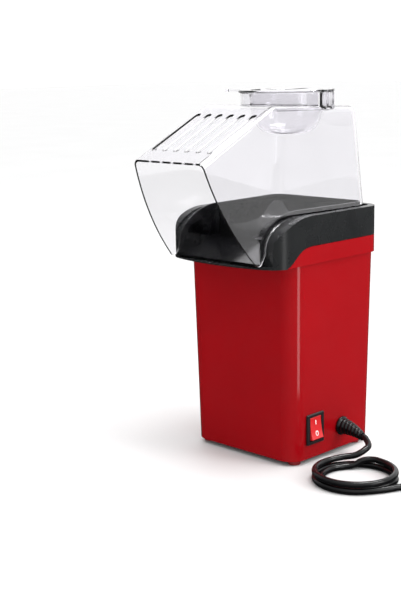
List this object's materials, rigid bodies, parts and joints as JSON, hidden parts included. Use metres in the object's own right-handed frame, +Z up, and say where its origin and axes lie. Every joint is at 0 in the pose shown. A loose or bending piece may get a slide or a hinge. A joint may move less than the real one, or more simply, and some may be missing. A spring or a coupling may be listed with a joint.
{
  "type": "popcorn maker",
  "caption": "Hot-air popcorn maker: a tall tapered housing, a dark upper frame with a chute, a clear hood with a forward pouring mouth, a measuring cup in its neck and a mains cord.",
  "frame": {"origin": "centre of the appliance's bounding box without its cord, at the level that the feet stand on", "axes": "+Z up; the pouring mouth faces -Y; the switch and the cord's strain relief are on the +X side; x = 0 is the middle plane of the housing, cover and chute"},
  "size_m": [0.3395, 0.227, 0.3627],
  "materials": {
    "housing_red": "glossy moulded plastic",
    "foot_red": "soft satin",
    "black_plastic": "fine satin texture",
    "chute_black": "polished",
    "clear_plastic": "clear moulded plastic",
    "switch_black": "satin",
    "lit_rocker": "translucent, lit from inside",
    "cord_rubber": "satin",
    "brass": "bright",
    "aluminium": "spun",
    "zinc_steel": "zinc plated",
    "mica": "flaky sheet",
    "heater_wire": "oxidised resistance wire",
    "copper_winding": "enamelled wire",
    "inner_grey": "moulded",
    "seal_silicone": "matt silicone",
    "circuit_board": "solder resist",
    "wire_cover": "glass-fibre sleeve"
  },
  "bodies": {
    "base": {"housing": "housing_red", "base_plate": "black_plastic", "foot_1": "foot_red", "foot_2": "foot_red", "foot_3": "foot_red", "foot_4": "foot_red", "base_screw_1": "zinc_steel", "base_screw_2": "zinc_steel", "base_screw_3": "zinc_steel", "base_screw_4": "zinc_steel", "upper_frame": "black_plastic", "chute_liner": "chute_black", "mouth_seal": "seal_silicone", "popping_chamber": "aluminium", "chamber_carrier": "zinc_steel", "heater_shell": "zinc_steel", "carrier_screw_1": "zinc_steel", "carrier_screw_2": "zinc_steel", "carrier_screw_3": "zinc_steel", "standoff_1": "zinc_steel", "standoff_2": "zinc_steel", "standoff_3": "zinc_steel", "mica_cross": "mica", "heating_coil": "heater_wire", "dropper_coil": "heater_wire", "thermostat": "inner_grey", "thermal_fuse": "wire_cover", "fan_housing": "inner_grey", "motor_bracket": "zinc_steel", "motor_can": "zinc_steel", "motor_end_cap": "inner_grey", "rectifier_board": "circuit_board", "terminal_block": "wire_cover", "switch_body": "switch_black", "strain_relief": "cord_rubber", "inner_lead": "cord_rubber", "wire_live": "wire_cover", "wire_neutral": "wire_cover", "wire_motor": "wire_cover", "cord_lead": "cord_rubber", "cord_loops": "cord_rubber", "cord_tail": "cord_rubber", "cord_coil": "cord_rubber", "cord_end": "cord_rubber", "cord_tie": "black_plastic", "plug_body": "cord_rubber", "plug_blade_1": "brass", "plug_blade_2": "brass"},
    "cover": {"clear_cover": "clear_plastic"},
    "cup": {"measuring_cup": "clear_plastic"},
    "rocker": {"switch_rocker": "lit_rocker"},
    "rotor": {"motor_armature": "copper_winding", "motor_shaft": "zinc_steel", "fan_impeller": "inner_grey"}
  },
  "joints": [
    {"name": "cover_lift", "type": "slide", "parent": "base", "child": "cover", "axis": [0, 0, 1], "range_m": [0, 0.12]},
    {"name": "cup_lift", "type": "slide", "parent": "cover", "child": "cup", "axis": [0, 0, 1], "range_m": [0, 0.08]},
    {"name": "rocker_press", "type": "hinge", "parent": "base", "child": "rocker", "pos_m": [0.06601, 0.0125, 0.035], "axis": [0, 1, 0], "range_deg": [0, 18]},
    {"name": "rotor_spin", "type": "hinge", "parent": "base", "child": "rotor", "pos_m": [0, 0.0525, 0.09], "axis": [0, 0, 1], "continuous": true}
  ]
}
